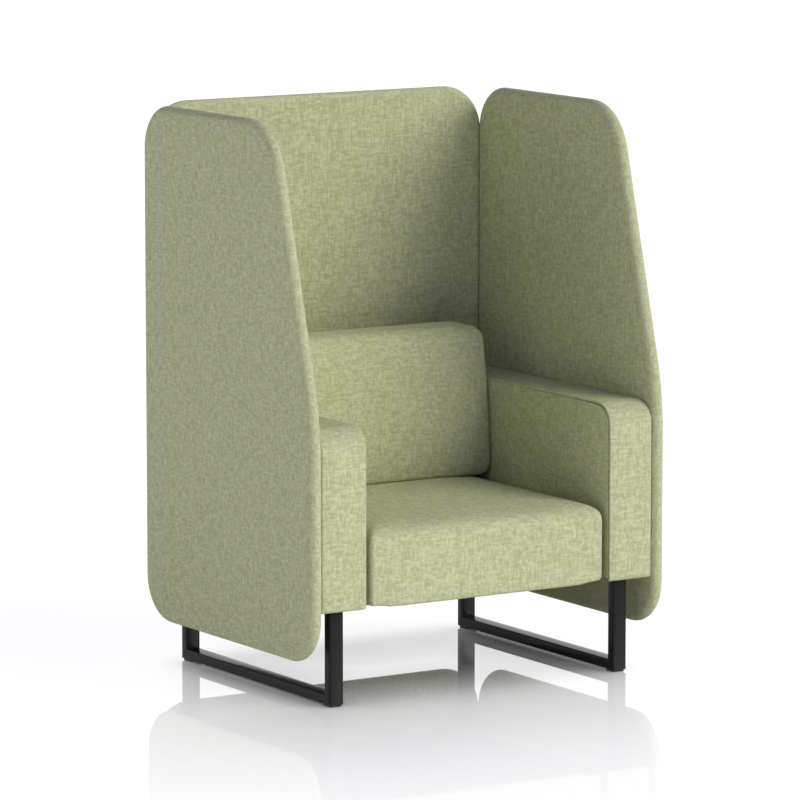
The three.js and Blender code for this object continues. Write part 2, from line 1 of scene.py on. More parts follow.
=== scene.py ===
# %% [markdown]
# # An upholstered lounge chair inside three acoustic screens
#
# The chair is a soft box on two black sled frames, with a padded screen at each side and one
# behind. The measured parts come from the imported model; this script makes the soft parts that
# cover them, the finishes, the light and the camera. All lengths are in metres. X goes across
# the chair, the sitter faces -Y and Z is up.

# %% Load the measured parts
import json
import math

import bpy
import numpy as np
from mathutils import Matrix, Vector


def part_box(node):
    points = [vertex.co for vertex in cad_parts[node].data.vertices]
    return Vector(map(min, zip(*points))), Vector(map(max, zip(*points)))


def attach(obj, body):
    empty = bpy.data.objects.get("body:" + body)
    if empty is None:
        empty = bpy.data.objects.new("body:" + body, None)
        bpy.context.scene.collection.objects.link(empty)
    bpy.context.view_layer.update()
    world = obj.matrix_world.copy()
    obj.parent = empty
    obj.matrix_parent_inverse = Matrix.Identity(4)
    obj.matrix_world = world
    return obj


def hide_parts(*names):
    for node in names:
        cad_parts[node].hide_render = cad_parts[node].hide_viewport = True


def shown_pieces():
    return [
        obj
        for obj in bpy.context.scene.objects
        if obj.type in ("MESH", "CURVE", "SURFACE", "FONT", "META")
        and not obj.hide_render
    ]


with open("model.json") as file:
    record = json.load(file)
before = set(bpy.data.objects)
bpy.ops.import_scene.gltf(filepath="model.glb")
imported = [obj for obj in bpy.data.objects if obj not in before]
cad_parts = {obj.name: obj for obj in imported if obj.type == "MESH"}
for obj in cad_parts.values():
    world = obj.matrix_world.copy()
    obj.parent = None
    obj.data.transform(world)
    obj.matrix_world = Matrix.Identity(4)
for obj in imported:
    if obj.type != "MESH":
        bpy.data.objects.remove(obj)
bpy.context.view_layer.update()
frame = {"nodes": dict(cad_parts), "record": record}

# %% [markdown]
# ## The camera
#
# A long lens far away keeps the chair's upright edges almost parallel. It could be framed by
# eye, but the place and the lens here come from matching the corners of the real chair.

# %% Put up the camera
LENS_LENGTH = 238.3
CAMERA_HEIGHT_ANGLE = 8.31
CAMERA_SIDE_ANGLE = -32.12
CAMERA_PLACE = (-6.8043, -10.8364, 2.5269)

camera_data = bpy.data.cameras.new("photo_camera")
camera_data.lens = LENS_LENGTH
camera_data.sensor_width = 36
camera_data.clip_end = 200
camera = bpy.data.objects.new("photo_camera", camera_data)
camera.location = CAMERA_PLACE
camera.rotation_euler = (math.radians(90 - CAMERA_HEIGHT_ANGLE), 0, math.radians(CAMERA_SIDE_ANGLE))
bpy.context.scene.collection.objects.link(camera)
bpy.context.scene.camera = camera
print("camera at", CAMERA_PLACE, "lens", LENS_LENGTH)

# %% [markdown]
# ## Sizes read from the measured parts
#
# Every soft part covers a measured one, so its size is read from that part's box and not typed
# again. Only what the boxes can't say, such as the radius of a corner, has a number here.

# %% Read the boxes
SIDES = {"left": -1, "right": 1}


def box(node):
    """The lowest and highest corner of a measured part, as two arrays."""
    low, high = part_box(node)
    return np.array(low), np.array(high)


screen_low, screen_high = box("right_screen_pad")
back_low, back_high = box("back_screen_pad")
arm_low, arm_high = box("right_arm_band")
seat_low, seat_high = box("seat_cushion")
cushion_high = box("back_cushion")[1]
support_low, support_high = box("back_support_pad")
print("screen", screen_low, screen_high)
print("arm", arm_low, arm_high)

# %% [markdown]
# ## Outlines with round corners
#
# A padded panel is drawn from its outline. Straight runs joined by arcs are what an upholsterer
# cuts, and moving such an outline inwards only shortens the arcs, so one function serves the
# edge, the rounding and the face.

# %% The outline function
ARC_POINTS = 14


def rounded_outline(corners, inset=0.0, arc_points=ARC_POINTS, run_points=0):
    """Points round a convex outline, anticlockwise. corners holds (u, v, radius).

    At each corner the arc's centre lies radius * tan(turn / 2) back along the edge and one
    radius to the left of it. Moving the outline in by inset shortens each radius by as much.
    """
    data = np.array(corners, dtype=float)
    place = data[:, :2]
    radius = data[:, 2]
    into = place - np.roll(place, 1, axis=0)
    into /= np.linalg.norm(into, axis=1, keepdims=True)
    away = np.roll(into, -1, axis=0)
    turn = np.arccos(np.clip((into * away).sum(axis=1), -1, 1))
    left = np.stack([-into[:, 1], into[:, 0]], axis=1)
    centre = place - into * (radius * np.tan(turn / 2))[:, None] + left * radius[:, None]
    start = np.arctan2(-into[:, 0], into[:, 1])
    share = np.linspace(0, 1, arc_points)
    angle = start[:, None] + turn[:, None] * share[None, :]
    reach = (radius - inset)[:, None, None]
    arcs = centre[:, None, :] + reach * np.stack([np.cos(angle), np.sin(angle)], axis=-1)
    if run_points:
        last = arcs[:, -1:, :]
        following = np.roll(arcs[:, :1, :], -1, axis=0)
        step = np.linspace(0, 1, run_points + 2)[1:-1]
        runs = last + (following - last) * step[None, :, None]
        arcs = np.concatenate([arcs, runs], axis=1)
    return arcs.reshape(-1, 2)


def rectangle(low, high, radius):
    """A rectangle's corners for rounded_outline, from its lowest and highest corner."""
    (u0, v0), (u1, v1) = low, high
    return [(u0, v0, radius), (u1, v0, radius), (u1, v1, radius), (u0, v1, radius)]


# %% [markdown]
# ## From rings to a closed skin
#
# All soft parts are skins over a stack of rings. Sculpting them by hand would give uneven
# faces; rings give a tidy grid that a cloth simulation or a subdivision can work on.

# %% The skin functions


def build(name, points, faces):
    """A new mesh object at the origin, shaded smooth."""
    mesh = bpy.data.meshes.new(name)
    mesh.from_pydata(np.asarray(points).reshape(-1, 3).tolist(), [], faces)
    mesh.update()
    mesh.shade_smooth()
    piece = bpy.data.objects.new(name, mesh)
    bpy.context.scene.collection.objects.link(piece)
    return piece


def skin_faces(count, around, first=0):
    """Faces between neighbouring rings: point k of a ring, k + 1, and the same two on the next."""
    ring, step = np.meshgrid(np.arange(count - 1), np.arange(around), indexing="ij")
    here = first + ring * around + step
    beside = first + ring * around + (step + 1) % around
    quads = np.stack([here, beside, beside + around, here + around], axis=-1).reshape(-1, 4)
    k = np.arange(around)
    after = (k + 1) % around
    low_middle = first + count * around
    last = first + (count - 1) * around
    low = np.stack([np.full(around, low_middle), first + after, first + k], axis=-1)
    high = np.stack([np.full(around, low_middle + 1), last + k, last + after], axis=-1)
    return quads.tolist() + low.tolist() + high.tolist()


def with_middles(rings):
    """The rings' points in a row, followed by the middle of the first and of the last ring."""
    return np.concatenate([rings.reshape(-1, 3), rings[[0, -1]].mean(axis=1)])


def skin(name, rings):
    """A closed skin over rings of points that run anticlockwise about the way they advance."""
    return build(name, with_middles(rings), skin_faces(*rings.shape[:2]))


def mirrored(rings):
    """The same rings on the chair's other side: X changes sign and each ring runs backwards."""
    return rings[:, ::-1] * np.array([-1.0, 1.0, 1.0])


def for_side(rings, sign):
    """Rings drawn for the right side, or their mirror image for the left."""
    return rings if sign > 0 else mirrored(rings)


# %% [markdown]
# ## Fitting a piece to the chair
#
# Each new piece rides on the chair's one body and hides the measured parts it stands for.

# %% The fitting function


def fit(piece, slot, *nodes):
    """Rides the piece on the chair and hides the parts it covers; slot is not used."""
    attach(piece, "root")
    if nodes:
        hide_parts(*nodes)
    print(f"{piece.name}: {len(piece.data.polygons)} faces")


# %% [markdown]
# ## The screens
#
# A real screen is a board wrapped in foam and wool, so its edge is a full half round, and the
# foam swells a few millimetres past the measured panel. The side screens' front edge stands
# upright to the height of the arms and then leans back. A bevelled slab would show its flat
# sides; here the outline moves in along a half circle instead.

# %% The outline of a side screen
SCREEN_CORNER = 0.110
SCREEN_FRONT_TOP_CORNER = 0.145
SCREEN_KINK_HEIGHT = 0.684
SCREEN_KINK_RADIUS = 0.700
SCREEN_SETBACK = 0.188
SCREEN_SWELL_OUT = 0.002
SCREEN_SWELL_FRONT = 0.003
SCREEN_SWELL_DOWN = 0.005

front = screen_low[1] - SCREEN_SWELL_FRONT
bottom = screen_low[2] - SCREEN_SWELL_DOWN
rear, top = screen_high[1], screen_high[2]
side_corners = [
    (front, bottom, SCREEN_CORNER),
    (rear, bottom, SCREEN_CORNER),
    (rear, top, SCREEN_CORNER),
    (front + SCREEN_SETBACK, top, SCREEN_FRONT_TOP_CORNER),
    (front, SCREEN_KINK_HEIGHT, SCREEN_KINK_RADIUS),
]
print("side screen from y", round(front, 4), "to", rear, "and z", round(bottom, 4), "to", top)

# %% The panel function
EDGE_STEPS = 17
FACE_SHARES = (0.94, 0.8, 0.6, 0.35)


def drawn_in(ring, share):
    """A ring of points shrunk about its middle to a share of its size."""
    middle = ring.mean(axis=0)
    return middle + (ring - middle) * share


def panel_rings(corners, thickness):
    """Rings through a panel with a half round edge, as (u, v, w) with w through the thickness.

    With r half the thickness and a going from -90 to 90 degrees, the outline moves in by
    r (1 - cos a) and stands at w = r sin a. The faces repeat the last ring, shrunk about its
    middle to a list of shares.
    """
    radius = thickness / 2
    angles = np.linspace(-math.pi / 2, math.pi / 2, EDGE_STEPS)
    edge = []
    for angle in angles:
        flat = rounded_outline(corners, radius * (1 - math.cos(angle)), run_points=6)
        height = np.full((len(flat), 1), radius * math.sin(angle))
        edge.append(np.concatenate([flat, height], axis=1))
    face = [drawn_in(edge[-1], share) for share in FACE_SHARES]
    back = [drawn_in(edge[0], share) for share in FACE_SHARES[::-1]]
    return np.array(back + edge + face)


# %% Make the side screens


def stand_sideways(rings, x):
    """(u, v, w) points become (w + x, u, v): a panel across the chair's width."""
    return np.stack([rings[..., 2] + x, rings[..., 0], rings[..., 1]], axis=-1)


screen_outer = screen_high[0] + SCREEN_SWELL_OUT
screen_thickness = screen_outer - screen_low[0]
for side, sign in SIDES.items():
    rings = stand_sideways(
        panel_rings(side_corners, screen_thickness), (screen_low[0] + screen_outer) / 2
    )
    screen = skin(f"{side}_screen", for_side(rings, sign))
    fit(screen, "upholstery", f"{side}_screen_pad")

# %% Make the back screen


def stand_across(rings, y):
    """(u, v, w) points become (u, y - w, v): a panel across the chair's depth."""
    return np.stack([rings[..., 0], y - rings[..., 2], rings[..., 1]], axis=-1)


back_corners = rectangle(back_low[[0, 2]], back_high[[0, 2]], SCREEN_CORNER)
back_rings = stand_across(
    panel_rings(back_corners, back_high[1] - back_low[1]), (back_low[1] + back_high[1]) / 2
)
back_screen = skin("back_screen", back_rings)
fit(back_screen, "upholstery", "back_screen_pad")

# %% [markdown]
# ## The arms
#
# Each arm is covered by two panels of wool: one over the inner face and a band that runs up the
# front and back along the top and laps a few millimetres round the inner edge. They are sewn
# together there. A dark line in the material would be simpler, but it would look the same from
# every side. So the seam is modelled as a groove between the two edges: it is dark from the
# inner side, hidden from the outer one, and fades along the top, where the cover is pulled
# smooth.

# %% Sizes of the arm's cover
ARM_CORNER = 0.055
ARM_LOW_CORNER = 0.010
ARM_EDGE_ROUND = 0.0015
ARM_END_ROUND = 0.008
ARM_LEAST_RADIUS = 0.001
BAND_LAP = 0.0040
PANEL_STEP = 0.0085
PANEL_RISE_FROM = -0.370
PANEL_RISE_TO = -0.250
PANEL_RISE_DEPTH = 0.020
SEAM_DEPTH = 0.0060
BAND_INNER_ROUND = 0.0026
SEAM_GAP = 0.0006
BAND_OUTER_ROUND = 0.006
BAND_CROWN = 0.0008
FACE_CROWN = 0.0015
ARM_PADDING = 0.012
arm_front, arm_bottom = arm_low[1], arm_low[2]
arm_rear, arm_top = arm_high[1], arm_high[2]
arm_inner, arm_outer = arm_low[0], arm_high[0]
seam_floor = arm_inner + SEAM_DEPTH
arm_corners = [
    (arm_front, arm_bottom, ARM_LOW_CORNER),
    (arm_rear, arm_bottom, ARM_LOW_CORNER),
    (arm_rear, arm_top, ARM_LOW_CORNER),
    (arm_front, arm_top, ARM_CORNER),
]
print("seam", round(PANEL_STEP - BAND_LAP, 4), "wide, its floor at x =", round(seam_floor, 4))

# %% The inner panel of an arm


def eased(share):
    """Runs from 0 to 1 along q^2 (3 - 2 q), with q the share kept between 0 and 1."""
    q = np.clip(share, 0, 1)
    return q**2 * (3 - 2 * q)


def arm_ring(inset, x):
    """The arm's outline as seen from the side, moved in by inset and standing at x."""
    moved = [(u, v, max(radius, inset + ARM_LEAST_RADIUS)) for u, v, radius in arm_corners]
    flat = rounded_outline(moved, inset, run_points=10)
    return np.concatenate([np.full((len(flat), 1), x), flat], axis=1)


def inner_panel_rings():
    """Rings from the middle of the inner face out to the seam and back behind the panel.

    The face stands out by FACE_CROWN (1 - s^2) at a share s of the way from its middle to its
    edge, and turns into the seam on a quarter circle, PANEL_STEP inside the arm's outline.
    """
    rings = []
    rim = arm_ring(PANEL_STEP + ARM_EDGE_ROUND, arm_inner)
    for share in (0.3, 0.6, 0.85, 0.96):
        ring = drawn_in(rim, share)
        ring[:, 0] = arm_inner - FACE_CROWN * (1 - share**2)
        rings.append(ring)
    for angle in np.linspace(0, math.pi / 2, 5):
        x = arm_inner + ARM_EDGE_ROUND * (1 - math.cos(angle))
        rings.append(arm_ring(PANEL_STEP + ARM_EDGE_ROUND * (1 - math.sin(angle)), x))
    rings.append(arm_ring(PANEL_STEP, seam_floor))
    rings.append(arm_ring(ARM_PADDING, seam_floor + SEAM_GAP))
    return smooth_top(np.array(rings))


def smooth_top(rings):
    """Closes the seam along the top: the panel's rim is lifted up to the band, eased in along
    the arm, and the lift fades out PANEL_RISE_DEPTH below the rim."""
    along = eased((rings[..., 1] - PANEL_RISE_FROM) / (PANEL_RISE_TO - PANEL_RISE_FROM))
    near_top = np.clip(1 - (arm_top - PANEL_STEP - rings[..., 2]) / PANEL_RISE_DEPTH, 0, 1)
    rings[..., 2] += (PANEL_STEP - BAND_LAP - SEAM_GAP) * along * near_top
    return rings


# %% The path of the band over an arm's front and top
RISE_POINTS = 26
TURN_POINTS = 17
RUN_POINTS = 34


def band_path():
    """Points and outward directions up the arm's front, round its corner and back along its
    top."""
    rise = np.linspace(arm_bottom, arm_top - ARM_CORNER, RISE_POINTS)
    turn = np.linspace(math.pi, math.pi / 2, TURN_POINTS)
    run = np.linspace(arm_front + ARM_CORNER, arm_rear, RUN_POINTS)
    centre = np.array([arm_front + ARM_CORNER, arm_top - ARM_CORNER])
    straight = np.stack([np.full_like(rise, arm_front), rise], axis=1)
    curve = centre + ARM_CORNER * np.stack([np.cos(turn), np.sin(turn)], axis=1)
    level = np.stack([run, np.full_like(run, arm_top)], axis=1)
    place = np.concatenate([straight, curve[1:-1], level])
    outward = np.concatenate([
        np.tile([-1.0, 0.0], (len(straight), 1)),
        (curve[1:-1] - centre) / ARM_CORNER,
        np.tile([0.0, 1.0], (len(level), 1)),
    ])
    return place, outward


# %% The band's cross-section


def band_section(drop):
    """The band's cross-section as (x, d), d being how far it stands out from the arm's outline.

    The top is crowned by BAND_CROWN (1 - t^2) and turns down at each side on a quarter
    circle, on the inner side as far as BAND_LAP; the whole top is lowered by drop, which
    rounds the band off at its ends.
    """
    angle = np.linspace(0, math.pi / 2, 6)
    seam_side = np.stack([
        arm_inner + BAND_INNER_ROUND * (1 - np.cos(angle)),
        -BAND_INNER_ROUND * (1 - np.sin(angle)),
    ], axis=1)
    outer_side = np.stack([
        arm_outer - BAND_OUTER_ROUND * (1 - np.sin(angle)),
        -BAND_OUTER_ROUND * (1 - np.cos(angle)),
    ], axis=1)
    share = np.linspace(-1, 1, 11)[1:-1]
    start, end = seam_side[-1, 0], outer_side[0, 0]
    flat = np.stack([
        (start + end) / 2 + share * (end - start) / 2,
        BAND_CROWN * (1 - share**2),
    ], axis=1)
    top_side = np.concatenate([seam_side, flat, outer_side])
    top_side[:, 1] = np.maximum(top_side[:, 1] - drop, -ARM_PADDING + SEAM_GAP)
    lap = min(-BAND_LAP, top_side[0, 1] - SEAM_GAP)
    under = np.array([
        [arm_outer, -ARM_PADDING],
        [seam_floor, -ARM_PADDING],
        [seam_floor, lap],
        [arm_inner, lap],
    ])
    return np.concatenate([top_side, under])


# %% Carry the section along the path


def band_rings():
    """The cross-section carried along the path, rounded off at the bottom end."""
    place, outward = band_path()
    distance = np.concatenate([[0], np.cumsum(np.linalg.norm(np.diff(place, axis=0), axis=1))])
    angle = np.linspace(0, math.pi / 2, 7)
    starts = ARM_END_ROUND * (1 - np.cos(angle))
    drops = ARM_END_ROUND * (1 - np.sin(angle))
    keep = distance > ARM_END_ROUND
    at = np.concatenate([starts, distance[keep]])
    drop = np.concatenate([drops, np.zeros(keep.sum())])
    y, z, ny, nz = (np.interp(at, distance, values) for values in (*place.T, *outward.T))
    rings = []
    for k in range(len(at)):
        section = band_section(drop[k])
        depth = section[:, 1]
        rings.append(np.stack([section[:, 0], y[k] + depth * ny[k], z[k] + depth * nz[k]], axis=1))
    return np.array(rings)


# %% Cover both arms


def soften(piece, angle):
    """Keeps edges sharper than angle degrees as creases in the shading."""
    piece.data.set_sharp_from_angle(angle=math.radians(angle))


for side, sign in SIDES.items():
    panel = skin(f"{side}_arm_inner_cover", for_side(inner_panel_rings(), sign))
    soften(panel, angle=60)
    fit(panel, "upholstery", f"{side}_arm_inner_pad")
    band = skin(f"{side}_arm_front_band", for_side(band_rings(), sign))
    soften(band, angle=60)
    fit(band, "upholstery", f"{side}_arm_band")

# %% [markdown]
# ## Cushions, before they are filled
#
# The seat is a firm box of foam under a tight cover, with its front corners drawn in from the
# arms and lifted a little. The back cushion is softer, thinner at its top, and its round lower
# corners lift off the seat. Both start here as rounded blocks a little smaller than the real
# ones, because filling them makes them swell.

# %% The block function
LEAST_RADIUS = 0.005


def block_rings(half, low, high, plan_radius, low_round, high_round, crown, recess=0.0):
    """Rings of a rounded block from its underside to its crowned top, as (u, v, w).

    The outline moves in by r (1 - sin a) while it climbs r (1 - cos a) at the lower edge, and
    the other way round at the upper one. The top rises by crown (1 - s^4) at a share s of the
    way from its middle to its rim, so it is nearly flat and turns down near the rim. The
    underside is drawn up by recess inside its rim.
    """

    def ring(inset, w):
        u, v = half[0] - inset, half[1] - inset
        radius = max(plan_radius - inset, LEAST_RADIUS)
        corners = rectangle((-u, -v), (u, v), radius)
        flat = rounded_outline(corners, arc_points=9, run_points=24)
        return np.concatenate([flat, np.full((len(flat), 1), w)], axis=1)

    angles = np.linspace(0, math.pi / 2, 8)
    under = [drawn_in(ring(low_round, low + recess), share) for share in (0.3, 0.6, 0.9)]
    low_edge = [
        ring(low_round * (1 - math.sin(a)), low + low_round * (1 - math.cos(a))) for a in angles
    ]
    straight = high - low - low_round - high_round
    wall = [ring(0, low + low_round + straight * share) for share in (0.25, 0.5, 0.75)]
    high_edge = [
        ring(high_round * (1 - math.cos(a)), high - high_round * (1 - math.sin(a))) for a in angles
    ]
    dome = []
    for share in (0.95, 0.88, 0.75, 0.55, 0.3):
        raised = drawn_in(high_edge[-1], share)
        raised[:, 2] += crown * (1 - share**4)
        dome.append(raised)
    return np.array(under + low_edge + wall + high_edge + dome)


# %% Sizes of the seat cushion
SEAT_SWELL = 0.0005
SEAT_SAG = 0.0062
SEAT_RECESS = 0.0074
SEAT_FRONT_STEP = 0.0104
SEAT_CORNER_PULL = 0.0088
PULL_FROM = -0.375
PULL_TO = -0.300
SEAT_PLAN_RADIUS = 0.006
SEAT_LOW_ROUND = 0.006
SEAT_HIGH_ROUND = 0.028
SEAT_CROWN = 0.011
SEAT_EDGE_HEIGHT = 0.421
SEAT_CORNER_LIFT = 0.0070
LIFT_FROM = 0.250
LIFT_TO = 0.330
LIFT_FADE = 0.060

seat_side = seat_high[0]
seat_front = seat_low[1] - SEAT_FRONT_STEP
seat_back = seat_high[1]
seat_bottom = seat_low[2] - SEAT_SAG
print("seat from y", round(seat_front, 4), "to", seat_back, "bottom", round(seat_bottom, 4))

# %% The seat cushion's block


def seat_reach(y):
    """Half the seat's width at y: its front corners are drawn in, eased out on the way back."""
    return seat_side - SEAT_CORNER_PULL * (1 - eased((y - PULL_FROM) / (PULL_TO - PULL_FROM)))


seat_half = (seat_side - SEAT_SWELL, (seat_back - seat_front) / 2 - SEAT_SWELL)
seat_rings = block_rings(
    seat_half, seat_bottom, SEAT_EDGE_HEIGHT - SEAT_SWELL, SEAT_PLAN_RADIUS,
    SEAT_LOW_ROUND, SEAT_HIGH_ROUND, SEAT_CROWN, SEAT_RECESS,
)
seat_rings[..., 1] += (seat_front + seat_back) / 2
seat_rings[..., 0] *= (seat_reach(seat_rings[..., 1]) - SEAT_SWELL) / seat_half[0]
across = eased((np.abs(seat_rings[..., 0]) - LIFT_FROM) / (LIFT_TO - LIFT_FROM))
near_bottom = np.clip(1 - (seat_rings[..., 2] - seat_bottom) / LIFT_FADE, 0, 1)
seat_rings[..., 2] += SEAT_CORNER_LIFT * across * near_bottom
seat_block = skin("seat_cushion_cover", seat_rings)
print("seat block:", len(seat_block.data.vertices), "points")

# %% The back cushion's block
CUSHION_SWELL = 0.001
CUSHION_PLAN_RADIUS = 0.031
CUSHION_EDGE_ROUND = 0.013
CUSHION_TOP_ROUND = 0.026
CUSHION_CROWN = 0.0045
CUSHION_FRONT = 0.1165
CUSHION_LEAN = 0.042
CUSHION_SIDE_REACH = 0.3450
CUSHION_BOTTOM = 0.4285
CUSHION_TOP_DROP = 0.0085

cushion_height = cushion_high[2] - CUSHION_TOP_DROP - CUSHION_BOTTOM
cushion_half = (CUSHION_SIDE_REACH - CUSHION_SWELL, cushion_height / 2 - CUSHION_SWELL)
cushion_back = cushion_high[1]
full_depth = cushion_back - CUSHION_FRONT
cushion_rings = block_rings(
    cushion_half, 0.0, full_depth, CUSHION_PLAN_RADIUS,
    CUSHION_EDGE_ROUND, CUSHION_EDGE_ROUND, CUSHION_CROWN,
)
rise = np.clip(cushion_rings[..., 1] / cushion_height + 0.5, 0, 1)
near_top = np.clip(1 - (1 - rise) * cushion_height / CUSHION_TOP_ROUND, 0, 1)
lean = CUSHION_LEAN * rise**2 + CUSHION_TOP_ROUND / 2 * near_top**2
cushion_rings[..., 2] *= 1 - lean / full_depth
cushion_rings = np.stack([
    cushion_rings[..., 0],
    cushion_back - cushion_rings[..., 2],
    cushion_rings[..., 1] + CUSHION_BOTTOM + cushion_height / 2,
], axis=-1)
cushion_block = skin("back_cushion_cover", cushion_rings)
print("back cushion block:", len(cushion_block.data.vertices), "points")

# %% [markdown]
# ## Filling the cushions
#
# A cushion's faces swell and its edges pull tight because foam pushes against cloth. Cloth
# simulation gives that for nothing: the block is remeshed to even squares and blown up gently
# with no gravity. Each point then keeps a few millimetres of its swelling, less on the way in,
# where the foam holds it, and averaging it with its neighbours takes out the ripples of the
# cloth. Where the cushion rests on something, its points are pressed flat again.

# %% Mesh helpers


def positions(mesh):
    """The mesh's points as an array."""
    flat = np.empty(len(mesh.vertices) * 3)
    mesh.vertices.foreach_get("co", flat)
    return flat.reshape(-1, 3)


def set_positions(mesh, points):
    """Moves the mesh's points."""
    mesh.vertices.foreach_set("co", points.ravel())
    mesh.update()


def apply_all(piece):
    """Replaces the piece's mesh by what its modifiers make of it."""
    graph = bpy.context.evaluated_depsgraph_get()
    made = bpy.data.meshes.new_from_object(piece.evaluated_get(graph))
    piece.modifiers.clear()
    piece.data = made


def smoothed(values, mesh, rounds):
    """Each round, every point takes the average of the values at its neighbours' ends."""
    ends = np.empty(len(mesh.edges) * 2, dtype=np.int64)
    mesh.edges.foreach_get("vertices", ends)
    near, far = ends.reshape(-1, 2).T
    count = len(values)
    neighbours = np.bincount(ends, minlength=count)
    for _ in range(rounds):
        values = np.bincount(near, values[far], count) + np.bincount(far, values[near], count)
        values /= neighbours
    return values


# %% The filling function
VOXEL = 0.006
SMOOTHING_ROUNDS = 14
FILL_FRAMES = 12
FILL_PRESSURE = 4.0


def fill(piece, cap, give, hold):
    """Blows the piece up like a cushion. Outwards no point moves further than cap and inwards no
    further than give; the swelling is smoothed, and hold presses it back where it rests."""
    remesh = piece.modifiers.new("even_squares", "REMESH")
    remesh.mode = "VOXEL"
    remesh.voxel_size = VOXEL
    remesh.use_smooth_shade = True
    apply_all(piece)
    start = positions(piece.data)
    outward = np.empty(start.size)
    piece.data.vertices.foreach_get("normal", outward)
    outward = outward.reshape(-1, 3)
    cloth = piece.modifiers.new("filling", "CLOTH")
    settings = cloth.settings
    settings.quality = 5
    settings.use_pressure = True
    settings.uniform_pressure_force = FILL_PRESSURE
    settings.tension_stiffness = 25
    settings.compression_stiffness = 25
    settings.bending_stiffness = 2
    settings.effector_weights.gravity = 0
    cloth.point_cache.frame_start = 1
    cloth.point_cache.frame_end = FILL_FRAMES
    for number in range(1, FILL_FRAMES + 1):
        bpy.context.scene.frame_set(number)
    graph = bpy.context.evaluated_depsgraph_get()
    filled = positions(piece.evaluated_get(graph).to_mesh())
    piece.modifiers.clear()
    bpy.context.scene.frame_set(1)
    swell = ((filled - start) * outward).sum(axis=1)
    swell = smoothed(np.clip(swell, -give, cap), piece.data, SMOOTHING_ROUNDS)
    print(f"{piece.name}: swells by {swell.mean() * 1000:.1f} mm, at most {cap * 1000:.0f}")
    set_positions(piece.data, hold(start + swell[:, None] * outward, start))
    finer = piece.modifiers.new("finer", "SUBSURF")
    finer.levels = 1
    finer.render_levels = 1
    apply_all(piece)
    piece.data.shade_smooth()


# %% Fill the seat cushion
SEAT_CAP = 0.005
SEAT_GIVE = 0.0005
UNDER_HEIGHT = 0.020
DENT_DEPTH = 0.0110
DENT_REACH = 0.30
DENT_START = 0.108
DENT_END = 0.124
DENT_FLOOR = 0.35
DENT_FADE = 0.05


def hold_seat(points, start):
    """The seat's sides stay inside the arms, its underside stays as it was sewn, and the back
    cushion's weight dents its top.

    Between DENT_START and DENT_END the dent eases in to DENT_DEPTH (1 - (x / DENT_REACH)^2). It
    begins at the height DENT_FLOOR and is full DENT_FADE above it, so only the top moves.
    """
    reach = seat_reach(points[:, 1])
    points[:, 0] = np.clip(points[:, 0], -reach, reach)
    points[:, 1] = np.clip(points[:, 1], seat_front, seat_back)
    under = start[:, 2] < seat_bottom + UNDER_HEIGHT
    points[under, 2] = start[under, 2]
    behind = eased((points[:, 1] - DENT_START) / (DENT_END - DENT_START))
    on_top = np.clip((points[:, 2] - DENT_FLOOR) / DENT_FADE, 0, 1)
    depth = DENT_DEPTH * np.clip(1 - (points[:, 0] / DENT_REACH) ** 2, 0, 1)
    points[:, 2] -= depth * behind * on_top
    return points


fill(seat_block, SEAT_CAP, SEAT_GIVE, hold_seat)
fit(seat_block, "upholstery", "seat_cushion")

# %% Fill the back cushion
CUSHION_CAP = 0.004
CUSHION_GIVE = 0.0005


def hold_cushion(points, start):
    """The cushion is flat against the low back, fits between the arms and rests on the seat."""
    points[:, 0] = np.clip(points[:, 0], -CUSHION_SIDE_REACH, CUSHION_SIDE_REACH)
    points[:, 1] = np.minimum(points[:, 1], cushion_back)
    points[:, 2] = np.maximum(points[:, 2], CUSHION_BOTTOM)
    return points


fill(cushion_block, CUSHION_CAP, CUSHION_GIVE, hold_cushion)
fit(cushion_block, "upholstery", "back_cushion")

# %% [markdown]
# ## The low back behind the cushion
#
# Between the arms stands a padded rail as high as they are. Only its top and a strip of
# its front can be seen, so one strip carried straight across is enough.

# %% Make the low back
SUPPORT_ROUND = 0.016
SUPPORT_PADDING = 0.020
SUPPORT_TOP_PADDING = 0.014


def support_rings():
    """A strip up the front, round a quarter circle and back along the top, carried straight
    from one arm to the other."""
    angle = np.linspace(math.pi, math.pi / 2, 12)
    centre = (support_low[1] + SUPPORT_ROUND, support_high[2] - SUPPORT_ROUND)
    curve = np.stack([
        centre[0] + SUPPORT_ROUND * np.cos(angle), centre[1] + SUPPORT_ROUND * np.sin(angle)
    ], axis=1)
    ends = np.array([
        [support_high[1], support_high[2]],
        [support_high[1], support_high[2] - SUPPORT_TOP_PADDING],
        [support_low[1] + SUPPORT_PADDING, support_high[2] - SUPPORT_TOP_PADDING],
        [support_low[1] + SUPPORT_PADDING, support_low[2]],
        [support_low[1], support_low[2]],
    ])
    section = np.concatenate([curve, ends])[::-1]
    across = np.linspace(support_low[0], support_high[0], 12)
    rings = np.empty((len(across), len(section), 3))
    rings[..., 0] = across[:, None]
    rings[..., 1:] = section[None]
    return rings


low_back = skin("low_back_cover", support_rings())
soften(low_back, angle=50)
fit(low_back, "upholstery", "back_support_pad")

# %% [markdown]
# ## The sled frames
#
# Each sled is welded from flat steel tube with softly rounded corners. The measured tubes have
# sharp edges, and a bevel would round their flush mitres too, so the visible tubes are swept
# again with a rounded section and the same mitres.

# %% The shapes of tubes and plates
TUBE_ROUND = 0.0028
PLATE_ROUND = 0.0012
PLATE_THICKNESS = 0.005
PLATE_CORNER = 0.004
STEEL_ARC_POINTS = 6


def rounded_rectangle(low, high, radius):
    """Points round a rectangle with round corners."""
    return rounded_outline(rectangle(low, high, radius), arc_points=STEEL_ARC_POINTS)


